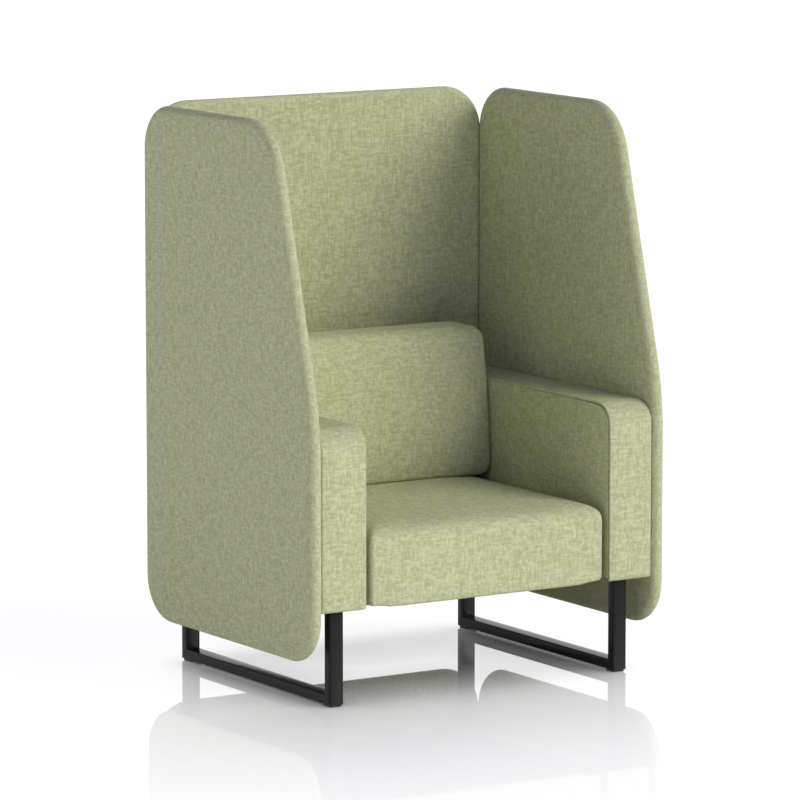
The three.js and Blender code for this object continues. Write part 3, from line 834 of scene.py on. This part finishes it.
def runner_rings(side):
    """The runner's section in X and Z, carried along Y. Each end is cut at 45 degrees, so a
    point as high as z lies z above the floor side of the mitre, further in."""
    low, high = box(f"{side}_runner")
    section = rounded_rectangle((low[0], low[2]), (high[0], high[2]), TUBE_ROUND)
    into = section[:, 1] - low[2]
    front_ring = np.stack([section[:, 0], low[1] + into, section[:, 1]], axis=1)
    rear_ring = np.stack([section[:, 0], high[1] - into, section[:, 1]], axis=1)
    return np.array([rear_ring, front_ring])


def leg_rings(side, end):
    """The leg's section in X and Y, carried up from the mitre to the plate."""
    runner_low, runner_high = box(f"{side}_runner")
    leg_low, leg_high = box(f"{side}_{end}_leg")
    depth = runner_high[2] - runner_low[2]
    outer, inward = (runner_low[1], 1) if end == "front" else (runner_high[1], -1)
    ys = sorted((outer, outer + inward * depth))
    section = rounded_rectangle((runner_low[0], ys[0]), (runner_high[0], ys[1]), TUBE_ROUND)
    foot = leg_low[2] + np.abs(section[:, 1] - outer)
    low_ring = np.concatenate([section, foot[:, None]], axis=1)
    plate_bottom = leg_high[2] - PLATE_THICKNESS
    high_ring = np.concatenate([section, np.full((len(section), 1), plate_bottom)], axis=1)
    return np.array([low_ring, high_ring])


def plate_rings(side, end):
    """The plate on top of the leg, its edges eased."""
    low, high = box(f"{side}_{end}_leg")
    rings = []
    for inset, z in (
        (PLATE_ROUND, high[2] - PLATE_THICKNESS),
        (0.0, high[2] - PLATE_THICKNESS + PLATE_ROUND),
        (0.0, high[2] - PLATE_ROUND),
        (PLATE_ROUND, high[2]),
    ):
        flat = rounded_rectangle(low[:2] + inset, high[:2] - inset, PLATE_CORNER)
        rings.append(np.concatenate([flat, np.full((len(flat), 1), z)], axis=1))
    return np.array(rings)


# %% Make both sleds


def skins(name, stacks):
    """Several closed skins in one object."""
    points = []
    faces = []
    first = 0
    for rings in stacks:
        part = with_middles(rings)
        faces += skin_faces(*rings.shape[:2], first=first)
        points.append(part)
        first += len(part)
    return build(name, np.concatenate(points), faces)


for side in SIDES:
    runner = skin(f"{side}_sled_runner", runner_rings(side))
    soften(runner, angle=40)
    fit(runner, "sled_steel", f"{side}_runner")
    for end in ("front", "rear"):
        leg = skins(f"{side}_{end}_sled_leg", [leg_rings(side, end), plate_rings(side, end)])
        soften(leg, angle=40)
        fit(leg, "sled_steel", f"{side}_{end}_leg")

# %% [markdown]
# ## Finishes
#
# A finish is a network of nodes read in the piece's own coordinates, so a pattern stays on the
# piece wherever the camera stands. Small helpers keep each network readable: each takes the
# material it adds to, or the world, which has such a network too.

# %% Node helpers


def set_input(material, socket, value):
    """Joins value to the socket if it is a socket itself, or else writes it there."""
    if isinstance(value, bpy.types.NodeSocket):
        material.node_tree.links.new(value, socket)
    else:
        socket.default_value = value


def emptied(material):
    """The same material or world, with an empty network."""
    material.use_nodes = True
    material.node_tree.nodes.clear()
    return material


def node(material, kind, settings=None, **inputs):
    """A node with its settings and inputs filled in. An input may be a value or a socket, and
    goes by its name, or by its number after an underscore."""
    made = material.node_tree.nodes.new(kind)
    for name, value in (settings or {}).items():
        setattr(made, name, value)
    for name, value in inputs.items():
        key = int(name[1:]) if name[0] == "_" else name.replace("_", " ")
        set_input(material, made.inputs[key], value)
    return made


# %% Pattern helpers


def own_place(material):
    """The piece's own coordinates, in metres."""
    return node(material, "ShaderNodeTexCoord").outputs["Object"]


def stretched_noise(material, stretch, detail=2.0):
    """Noise whose grains are 1 / stretch long along each axis."""
    mapped = node(material, "ShaderNodeMapping", Vector=own_place(material), Scale=stretch)
    noise = node(
        material, "ShaderNodeTexNoise", Vector=mapped.outputs[0], Scale=1.0, Detail=detail
    )
    return noise.outputs["Fac"]


def blend(material, factor, low, high, way="MIX"):
    """A colour between low and high, or their product."""
    settings = {"data_type": "RGBA", "blend_type": way}
    return node(material, "ShaderNodeMix", settings, _0=factor, _6=low, _7=high).outputs[2]


def spread(material, value, low, high, settings=None, **more):
    """Stretches a value so that low becomes 0, or To_Min, and high becomes 1, or To_Max."""
    ends = {"From_Min": low, "From_Max": high, **more}
    return node(material, "ShaderNodeMapRange", settings, Value=value, **ends).outputs[0]


def calculate(material, operation, *values):
    """One step of arithmetic on sockets or numbers."""
    step = node(material, "ShaderNodeMath", {"operation": operation})
    for socket, value in zip(step.inputs, values):
        set_input(material, socket, value)
    return step.outputs[0]


# %% [markdown]
# ## The wool
#
# The cover is a melange wool: yarns spun from pale green, straw and grey fibres, woven plain.
# From a step away the eye sees soft mottling and short light threads along both directions of
# the weave. So the colour adds a cloud and finer specks for the mottling to noises drawn out
# along X, Y and Z, each of them left out on the faces it would pierce, and a second cloud moves
# the hue between straw and grey. The weave is a sine pattern that only shapes the surface. A
# picture of cloth would repeat itself and need unfolding; noise runs on round every edge.

# %% Make the wool
WOOL_PALE = (0.584, 0.614, 0.386, 1)
WOOL_MID = (0.500, 0.530, 0.318, 1)
WOOL_DEEP = (0.420, 0.446, 0.256, 1)
STRAW_TINT = (1.00, 1.01, 0.93, 1)
GREY_TINT = (0.99, 0.97, 1.00, 1)
THREAD_STREAKS = ((42, 205, 205), (205, 42, 205), (205, 205, 42))
STREAK_SHARE = 0.34
CLOUD_GRAINS = (85, 85, 85)
CLOUD_SHARE = 0.22
SPECK_GRAINS = (150, 150, 150)
SPECK_SHARE = 0.20
HUE_GRAINS = (160, 160, 160)
YARN_SPREAD = 0.092
NOISE_LOW = 0.35
NOISE_HIGH = 0.65
NOISE_MIDDLE = 0.5

wool = emptied(bpy.data.materials.new("melange_wool"))
facing = node(wool, "ShaderNodeTexCoord").outputs["Normal"]
turned = node(wool, "ShaderNodeVectorMath", {"operation": "ABSOLUTE"}, _0=facing)
turned_parts = node(wool, "ShaderNodeSeparateXYZ", Vector=turned.outputs[0])


def centred(value, share):
    """A noise moved to be zero on average and scaled by a share."""
    return calculate(wool, "MULTIPLY", calculate(wool, "SUBTRACT", value, NOISE_MIDDLE), share)


def added(values):
    """The sum of several sockets."""
    total = values[0]
    for value in values[1:]:
        total = calculate(wool, "ADD", total, value)
    return total


threads = [
    calculate(
        wool,
        "MULTIPLY",
        centred(stretched_noise(wool, stretch), STREAK_SHARE),
        calculate(wool, "SUBTRACT", 1.0, turned_parts.outputs[axis]),
    )
    for axis, stretch in enumerate(THREAD_STREAKS)
]
cloud = centred(stretched_noise(wool, CLOUD_GRAINS), CLOUD_SHARE)
speck = centred(stretched_noise(wool, SPECK_GRAINS, detail=1.0), SPECK_SHARE)
grain = added([*threads, cloud, speck])
light_yarn = spread(wool, grain, 0.0, YARN_SPREAD)
dark_yarn = spread(wool, grain, 0.0, -YARN_SPREAD)
body_colour = blend(wool, light_yarn, WOOL_MID, WOOL_PALE)
yarn_colour = blend(wool, dark_yarn, body_colour, WOOL_DEEP)
hue_cloud = spread(wool, stretched_noise(wool, HUE_GRAINS), NOISE_LOW, NOISE_HIGH)
tint = blend(wool, hue_cloud, STRAW_TINT, GREY_TINT)
tinted = blend(wool, 1.0, yarn_colour, tint, "MULTIPLY")
print("grain from", len(threads), "thread noises, a cloud and a speck")

# %% Give the wool its weave
THREAD_PITCH = 0.0021
WEAVE_HEIGHT = 0.25
GRAIN_HEIGHT = 3.0
AXIS_PAIRS = ((0, 1), (1, 2), (2, 0))
WOOL_ROUGHNESS = 0.95
WOOL_SHINE = 0.08


def shade(material, colour, roughness, height, strength, distance, **more):
    """Ends a material: its colour, its roughness and a relief that follows height."""
    bump = node(material, "ShaderNodeBump", Strength=strength, Distance=distance, Height=height)
    shader = node(
        material,
        "ShaderNodeBsdfPrincipled",
        Base_Color=colour,
        Roughness=roughness,
        Normal=bump.outputs[0],
        **more,
    )
    node(material, "ShaderNodeOutputMaterial", Surface=shader.outputs[0])


parts = node(wool, "ShaderNodeSeparateXYZ", Vector=own_place(wool))
waves = [
    calculate(wool, "SINE", calculate(wool, "MULTIPLY", part, math.tau / THREAD_PITCH))
    for part in parts.outputs
]
weave = added([calculate(wool, "MULTIPLY", waves[a], waves[b]) for a, b in AXIS_PAIRS])
height = added([
    calculate(wool, "MULTIPLY", weave, WEAVE_HEIGHT),
    calculate(wool, "MULTIPLY", grain, GRAIN_HEIGHT),
])
shade(
    wool, tinted, WOOL_ROUGHNESS, height,
    strength=0.5, distance=0.0006, Specular_IOR_Level=WOOL_SHINE,
)
print("wool nodes:", len(wool.node_tree.nodes))

# %% [markdown]
# ## The black frame
#
# Powder coat is a satin black skin with a very fine orange peel, and it dulls a little where it
# is touched. Plain black would look like a hole, so one noise varies its gloss and another makes
# the peel.

# %% Make the powder coat


def grey(level):
    """A colour with the same level in red, green and blue."""
    return level, level, level, 1


COAT_BLACK = grey(0.010)
COAT_WORN = grey(0.016)
COAT_SMOOTH = 0.12
COAT_ROUGH = 0.20
COAT_SHINE = 0.095
PEEL_GRAINS = (900, 900, 900)
SMUDGE_GRAINS = (14, 14, 14)

coat = emptied(bpy.data.materials.new("black_powder_coat"))
peel = stretched_noise(coat, PEEL_GRAINS)
smudge = stretched_noise(coat, SMUDGE_GRAINS, detail=3.0)
black = blend(coat, smudge, COAT_BLACK, COAT_WORN)
rough = spread(coat, smudge, 0.0, 1.0, To_Min=COAT_SMOOTH, To_Max=COAT_ROUGH)
shade(
    coat, black, rough, peel, strength=0.15, distance=0.0002, Specular_IOR_Level=COAT_SHINE
)
print("powder coat nodes:", len(coat.node_tree.nodes))

# %% [markdown]
# ## Finishes of the hidden parts
#
# The frame inside is never seen in the photograph, but it shows from below or when a cover is
# hidden: layered plywood, sawn timber, seat rails painted near black as shade, so that an end in
# the gap beside the seat reads as the gap's shadow, drawn wire, zinc, a thin black cloth and
# moulded glides. They differ only in colour, grain and gloss, so two functions make them all.

# %% Wood
FINE_SCALE = 6
FINE_SHARE = 0.25


def wood(name, pale, dark, stretch, roughness):
    """Wood whose grain runs where stretch is smallest, with darker late wood in bands."""
    material = emptied(bpy.data.materials.new(name))
    coarse = stretched_noise(material, stretch, detail=6.0)
    fine = stretched_noise(material, tuple(value * FINE_SCALE for value in stretch))
    coarse_part = calculate(material, "MULTIPLY", coarse, 1 - FINE_SHARE)
    fine_part = calculate(material, "MULTIPLY", fine, FINE_SHARE)
    both = calculate(material, "ADD", coarse_part, fine_part)
    colour = blend(material, spread(material, both, NOISE_LOW, NOISE_HIGH), pale, dark)
    shade(material, colour, roughness, both, strength=0.3, distance=0.0004)
    return material


plywood = wood("birch_plywood", (0.62, 0.45, 0.27, 1), (0.46, 0.30, 0.16, 1), (60, 4, 60), 0.7)
timber = wood("sawn_timber", (0.52, 0.33, 0.17, 1), (0.33, 0.19, 0.09, 1), (50, 50, 5), 0.75)
# The seat rails are painted near black as shade: an end showing in the gap beside the seat reads as
# the gap's shadow, not as lit wood.
rail_black_as_painted_shade = wood(
    "rail_painted_shade_black", (0.022, 0.020, 0.018, 1), (0.012, 0.011, 0.010, 1), (5, 60, 60), 0.6
)
print("woods:", plywood.name, timber.name, rail_black_as_painted_shade.name)

# %% Wire, zinc, cloth and glides


def plain_finish(name, low, high, grains, roughness, metallic):
    """A finish with a slight variation between two colours and a fine relief, its grains
    1 / grains long."""
    material = emptied(bpy.data.materials.new(name))
    noise = stretched_noise(material, (grains, grains, grains), detail=4.0)
    colour = blend(material, noise, low, high)
    shade(material, colour, roughness, noise, strength=0.2, distance=0.0002, Metallic=metallic)
    return material


wire = plain_finish("drawn_wire", (0.25, 0.25, 0.26, 1), (0.36, 0.36, 0.37, 1), 300, 0.35, 1.0)
zinc = plain_finish("zinc_plate", (0.36, 0.37, 0.38, 1), (0.50, 0.51, 0.53, 1), 220, 0.35, 1.0)
dust_cloth = plain_finish("dust_cloth", grey(0.010), grey(0.022), 700, 0.9, 0.0)
glide_black = plain_finish("glide_plastic", grey(0.010), grey(0.018), 400, 0.6, 0.0)
print("plain finishes:", wire.name, zinc.name, dust_cloth.name, glide_black.name)

# %% Put the finishes on
FINISHES = {
    "upholstery": wool,
    "black_cloth": dust_cloth,
    "plywood": plywood,
    "frame_timber": timber,
    "seat_timber": rail_black_as_painted_shade,
    "sled_steel": coat,
    "spring_steel": wire,
    "zinc_fixings": zinc,
    "glide_plastic": glide_black,
}


def finish_piece(piece, material):
    """Gives the piece one material."""
    piece.data.materials.clear()
    piece.data.materials.append(material)


slots = {part["node"]: part["material_slot"] for part in frame["record"]["subparts"]}
for name, part in frame["nodes"].items():
    if not part.hide_render:
        finish_piece(part, FINISHES[slots[name]])
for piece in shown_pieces():
    if piece.name not in frame["nodes"]:
        finish_piece(piece, coat if "sled" in piece.name else wool)
print("finishes:", sorted(FINISHES))

# %% [markdown]
# ## The studio floor
#
# The chair stands on a polished white floor that runs out into white. Three things make it:
# paint that takes the chair's shadow, a glow that is white around the chair and dimmed under it
# and along the runners as painted shade, and a mirror that is strong at grazing views and near
# the chair and fades away from it. White paint under more light would bleach the chair. So what
# the camera and reflections see of the glow is one strength, and what lights the chair another.

# %% Lay the floor
FLOOR_SIZE = 160.0

floor = build(
    "studio_floor",
    np.array([[-1, -1, 0], [1, -1, 0], [1, 1, 0], [-1, 1, 0]]) * FLOOR_SIZE / 2,
    [[0, 1, 2, 3]],
)
floor_paint = emptied(bpy.data.materials.new("floor_paint"))
print("floor", FLOOR_SIZE, "m wide")

# %% [markdown]
# What is seen of the glow follows how open the floor's view of the room is, so it is dimmed
# under the chair and along the runners as painted shade. The mirror and the light given to the
# chair follow s, the distance from the chair's footprint, negative inside. For a box it is
# |max(q, 0)| + min(max(qx, qy), 0), where q is |p| less half the box. The mirror fades as
# exp(-s / MIRROR_FADE).

# %% The distance from the footprint
FOOTPRINT_HALF = (0.50, 0.41, 1.0)


def vector_math(operation, *values):
    """One step of arithmetic on the floor's vectors."""
    step = node(floor_paint, "ShaderNodeVectorMath", {"operation": operation})
    for socket, value in zip(step.inputs, values):
        set_input(floor_paint, socket, value)
    return step


flat_place = vector_math("MULTIPLY", own_place(floor_paint), (1, 1, 0)).outputs[0]
folded = vector_math("ABSOLUTE", flat_place).outputs[0]
beyond = vector_math("SUBTRACT", folded, FOOTPRINT_HALF).outputs[0]
positive = vector_math("MAXIMUM", beyond, (0, 0, 0)).outputs[0]
outside = vector_math("LENGTH", positive).outputs["Value"]
beyond_parts = node(floor_paint, "ShaderNodeSeparateXYZ", Vector=beyond)
nearest = calculate(floor_paint, "MAXIMUM", beyond_parts.outputs[0], beyond_parts.outputs[1])
signed = calculate(floor_paint, "ADD", outside, calculate(floor_paint, "MINIMUM", nearest, 0.0))
print("distance from a box", [2 * half for half in FOOTPRINT_HALF[:2]])

# %% The floor's glow and its painted shade
OPEN_DISTANCE = 0.6
OPEN_FROM = 0.05
OPEN_TO = 0.63
GLOW_IN_PAINTED_SHADE = 0.07
GLOW_OPEN = 0.90
FLOOR_LIGHT = 0.72
LIGHT_FROM = -0.10
LIGHT_TO = 0.30

# Ambient occlusion dims the glow the camera sees: painted shade under the chair and along the
# runners.
painted_shade_openness = node(floor_paint, "ShaderNodeAmbientOcclusion", Distance=OPEN_DISTANCE)
glow_seen_with_painted_shade = spread(
    floor_paint, painted_shade_openness.outputs["AO"], OPEN_FROM, OPEN_TO, To_Min=GLOW_IN_PAINTED_SHADE, To_Max=GLOW_OPEN
)
smooth_step = {"interpolation_type": "SMOOTHSTEP"}
glow_given = spread(
    floor_paint, signed, LIGHT_FROM, LIGHT_TO, smooth_step, To_Min=0.0, To_Max=FLOOR_LIGHT
)
print("glow seen from", GLOW_IN_PAINTED_SHADE, "to", GLOW_OPEN, "and given up to", FLOOR_LIGHT)

# %% The floor's paint and mirror
FLOOR_PAINT = grey(0.30)
WHITE = grey(1)
MIRROR_IOR = 1.5
MIRROR_GAIN = 1.42
MIRROR_FADE = 0.85
MIRROR_ROUGHNESS = 0.02


def seen_directly(material):
    """1 for what the camera, a mirror or glass shows, and 0 for rays that only bring light."""
    rays = node(material, "ShaderNodeLightPath").outputs
    either = calculate(material, "MAXIMUM", rays["Is Camera Ray"], rays["Is Glossy Ray"])
    return calculate(material, "MAXIMUM", either, rays["Is Transmission Ray"])


strength = spread(
    floor_paint, seen_directly(floor_paint), 0.0, 1.0, To_Min=glow_given, To_Max=glow_seen_with_painted_shade
)
paint = node(floor_paint, "ShaderNodeBsdfDiffuse", Color=FLOOR_PAINT)
shine = node(floor_paint, "ShaderNodeEmission", Color=WHITE, Strength=strength)
base = node(floor_paint, "ShaderNodeAddShader", _0=paint.outputs[0], _1=shine.outputs[0])
fresnel = node(floor_paint, "ShaderNodeFresnel", IOR=MIRROR_IOR).outputs[0]
fade = calculate(
    floor_paint, "EXPONENT", calculate(floor_paint, "MULTIPLY", signed, -1 / MIRROR_FADE)
)
polish = calculate(floor_paint, "MULTIPLY", fade, MIRROR_GAIN)
share = calculate(
    floor_paint, "MINIMUM", calculate(floor_paint, "MULTIPLY", fresnel, polish), 1.0
)
mirror = node(floor_paint, "ShaderNodeBsdfGlossy", Color=WHITE, Roughness=MIRROR_ROUGHNESS)
surface = node(
    floor_paint, "ShaderNodeMixShader", _0=share, _1=base.outputs[0], _2=mirror.outputs[0]
)
node(floor_paint, "ShaderNodeOutputMaterial", Surface=surface.outputs[0])
finish_piece(floor, floor_paint)
print("floor nodes:", len(floor_paint.node_tree.nodes))

# %% [markdown]
# ## Light
#
# The photograph is lit from the front right and from a little above, softly, with much light
# coming back from the white room: the right screen throws a wide soft shadow on the back screen.
# A weak lamp low at the left fills the left screen's outside. Large lamps close by would be
# brighter at one end of the chair, so both lamps are suns, with a wide disc for soft shadows.
# Lamps and room are a little tinted, because light that bounces between green panels would else
# turn the shadows green.

# %% The room
ROOM_LIGHT = 0.355
ROOM_COLOUR = (0.55, 0.515, 1.0, 1)

room = emptied(bpy.data.worlds.new("white_room"))
bpy.context.scene.world = room
light_given = node(room, "ShaderNodeBackground", Color=ROOM_COLOUR, Strength=ROOM_LIGHT)
white_seen = node(room, "ShaderNodeBackground", Color=WHITE, Strength=1.0)
both_lights = node(
    room,
    "ShaderNodeMixShader",
    _0=seen_directly(room),
    _1=light_given.outputs[0],
    _2=white_seen.outputs[0],
)
node(room, "ShaderNodeOutputWorld", Surface=both_lights.outputs[0])
print("room nodes:", len(room.node_tree.nodes))

# %% The lamps


def lamp(name, turn, height, width, level, colour):
    """A far lamp that looks width degrees wide. turn is its angle from the front towards the
    right and height its angle above the floor. At level 1 a white wall that faces it renders as
    white."""
    data = bpy.data.lights.new(name, "SUN")
    data.angle = math.radians(width)
    data.energy = level * math.pi
    data.color = colour
    holder = bpy.data.objects.new(name, data)
    holder.rotation_euler = (math.radians(90 - height), 0, math.radians(turn))
    bpy.context.scene.collection.objects.link(holder)
    print(f"{name}: {turn} degrees round, {height} up, {width} wide")


lamp("key_lamp", turn=35, height=30, width=43, level=0.735, colour=(1.0, 0.985, 0.87))
lamp("left_fill_lamp", turn=-90, height=8, width=30, level=0.12, colour=(1.0, 1.0, 0.6))
bpy.context.scene.view_settings.view_transform = "Standard"
